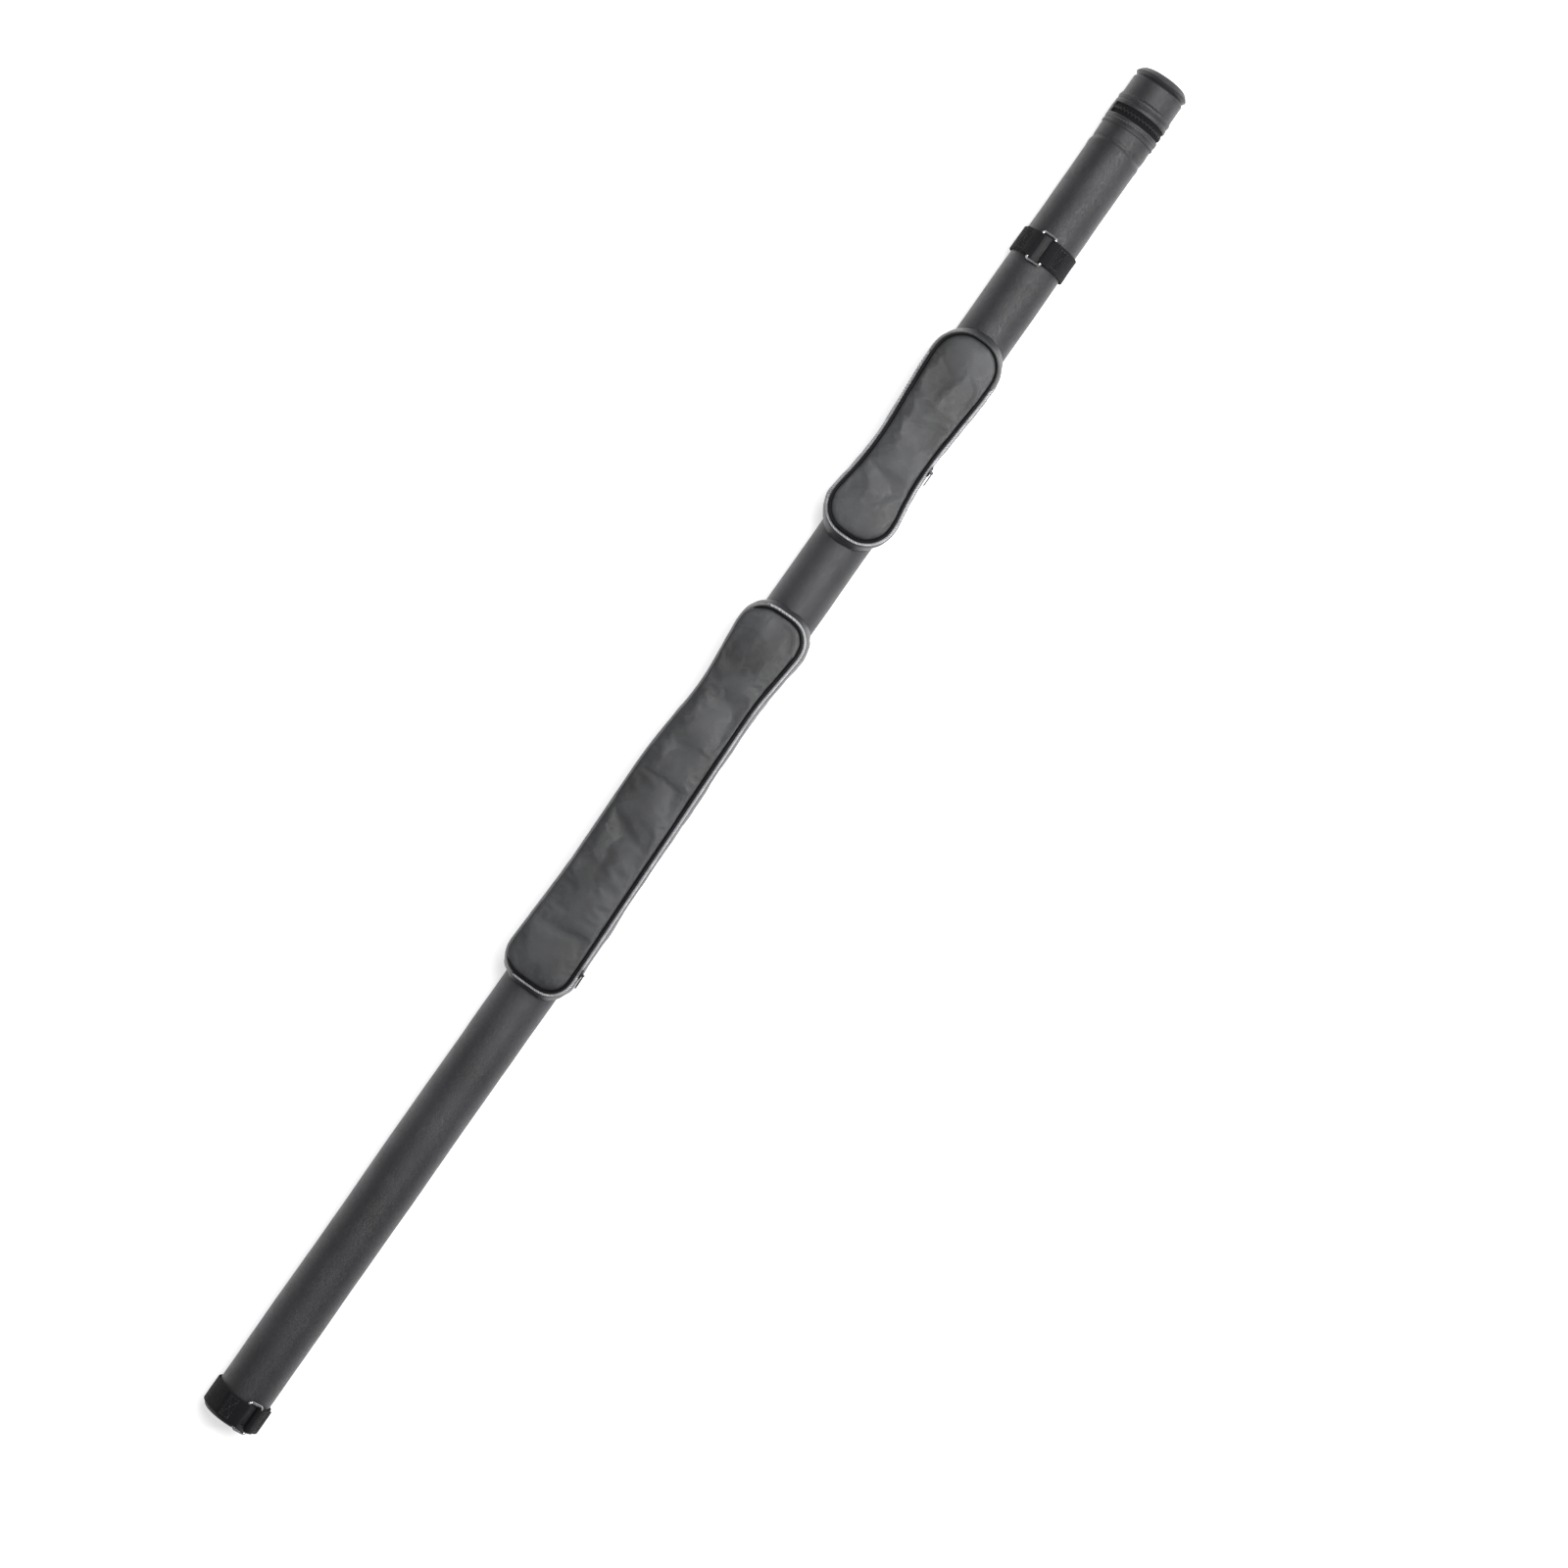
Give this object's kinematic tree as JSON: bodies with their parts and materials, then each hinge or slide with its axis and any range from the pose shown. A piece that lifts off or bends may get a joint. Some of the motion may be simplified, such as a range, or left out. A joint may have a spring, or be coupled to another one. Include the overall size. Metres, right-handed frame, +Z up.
{
  "type": "carrying tube for drawings",
  "caption": "Long leatherette-covered carrying tube with a zip-round hinged end lid, two zipped pouches with flaps, and two webbing bands with strap rings.",
  "frame": {"origin": "centre of the whole tube on the surface that it lies on", "axes": "+X along the tube to its lid, +Z up through the pouches, tube lying on its back"},
  "size_m": [1.53, 0.0765, 0.0811],
  "materials": {
    "cover_leather": "semi-matte fine-grained black leatherette",
    "pouch_leather": "soft semi-matte black leatherette",
    "piping_leather": "satin black piping",
    "webbing": "black woven nylon",
    "ring_steel": "bright nickel plate",
    "zip_metal": "dark nickel plate",
    "zip_teeth": "grey moulded teeth",
    "zip_tape": "black woven tape",
    "tube_plastic": "grey extruded plastic",
    "lining_plush": "black short plush",
    "padding_foam": "dark soft foam"
  },
  "bodies": {
    "tube": {"inner_tube": "tube_plastic", "tube_lining": "lining_plush", "leather_cover": "cover_leather", "bottom_plug": "tube_plastic", "bottom_pad": "lining_plush", "bottom_cup": "cover_leather", "lower_welt": "cover_leather", "lower_tape": "zip_tape", "lower_chain": "zip_teeth", "lid_zip_stops": "zip_metal", "lid_hinge_strip": "cover_leather", "lower_band": "webbing", "lower_ring": "ring_steel", "upper_band": "webbing", "upper_ring": "ring_steel", "small_gusset": "pouch_leather", "small_back_panel": "pouch_leather", "small_base_tape": "zip_tape", "small_base_chain": "zip_teeth", "small_flap_hinge": "pouch_leather", "large_gusset": "pouch_leather", "large_back_panel": "pouch_leather", "large_base_tape": "zip_tape", "large_base_chain": "zip_teeth", "large_flap_hinge": "pouch_leather"},
    "lid": {"lid_cover": "cover_leather", "lid_stiffener": "tube_plastic", "lid_lining": "lining_plush", "lid_end": "cover_leather", "lid_foam": "padding_foam", "upper_welt": "cover_leather", "upper_tape": "zip_tape", "upper_chain": "zip_teeth"},
    "lid_zip_slider": {"lid_slider": "zip_metal"},
    "lid_zip_pull": {"lid_pull": "zip_metal"},
    "small_flap": {"small_flap_panel": "pouch_leather", "small_flap_padding": "padding_foam", "small_flap_lining": "lining_plush", "small_flap_piping": "piping_leather", "small_flap_tape": "zip_tape", "small_flap_chain": "zip_teeth"},
    "small_zip_slider": {"small_slider": "zip_metal"},
    "small_zip_pull": {"small_pull": "zip_metal"},
    "large_flap": {"large_flap_panel": "pouch_leather", "large_flap_padding": "padding_foam", "large_flap_lining": "lining_plush", "large_flap_piping": "piping_leather", "large_flap_tape": "zip_tape", "large_flap_chain": "zip_teeth"},
    "large_zip_slider": {"large_slider": "zip_metal"},
    "large_zip_pull": {"large_pull": "zip_metal"}
  },
  "joints": [
    {"name": "lid_hinge", "type": "hinge", "parent": "tube", "child": "lid", "pos_m": [0.717, 0.0286, 0.0286], "axis": [0, 0, 1], "range_deg": [0, 150]},
    {"name": "lid_zip_travel", "type": "hinge", "parent": "tube", "child": "lid_zip_slider", "pos_m": [0.717, 0, 0.0286], "axis": [1, 0, 0], "range_deg": [-280, 0]},
    {"name": "lid_pull_swing", "type": "hinge", "parent": "lid_zip_slider", "child": "lid_zip_pull", "pos_m": [0.7157, 0.02688, 0.0118], "axis": [-1, 0, 0], "range_deg": [-100, 20]},
    {"name": "small_flap_hinge", "type": "hinge", "parent": "tube", "child": "small_flap", "pos_m": [0.4631, 0, 0.07165], "axis": [0, 1, 0], "range_deg": [0, 110]},
    {"name": "small_zip_travel", "type": "hinge", "parent": "tube", "child": "small_zip_slider", "pos_m": [0.335, -0.32575, 0.07165], "axis": [0, 0, 1], "range_deg": [-3, 9]},
    {"name": "small_pull_swing", "type": "hinge", "parent": "small_zip_slider", "child": "small_zip_pull", "pos_m": [0.335, -0.03315, 0.07165], "axis": [0, 0, 1], "range_deg": [0, 160]},
    {"name": "large_flap_hinge", "type": "hinge", "parent": "tube", "child": "large_flap", "pos_m": [-0.058, 0.03702, 0.06917], "axis": [-1, 0, 0], "range_deg": [0, 110]},
    {"name": "large_zip_travel", "type": "slide", "parent": "tube", "child": "large_zip_slider", "axis": [0.9998, 0.0221, -0.0015], "range_m": [0, 0.272]},
    {"name": "large_pull_swing", "type": "hinge", "parent": "large_zip_slider", "child": "large_zip_pull", "pos_m": [-0.23093, -0.03604, 0.07427], "axis": [0, 0.0698, 0.9976], "range_deg": [0, 160]}
  ]
}
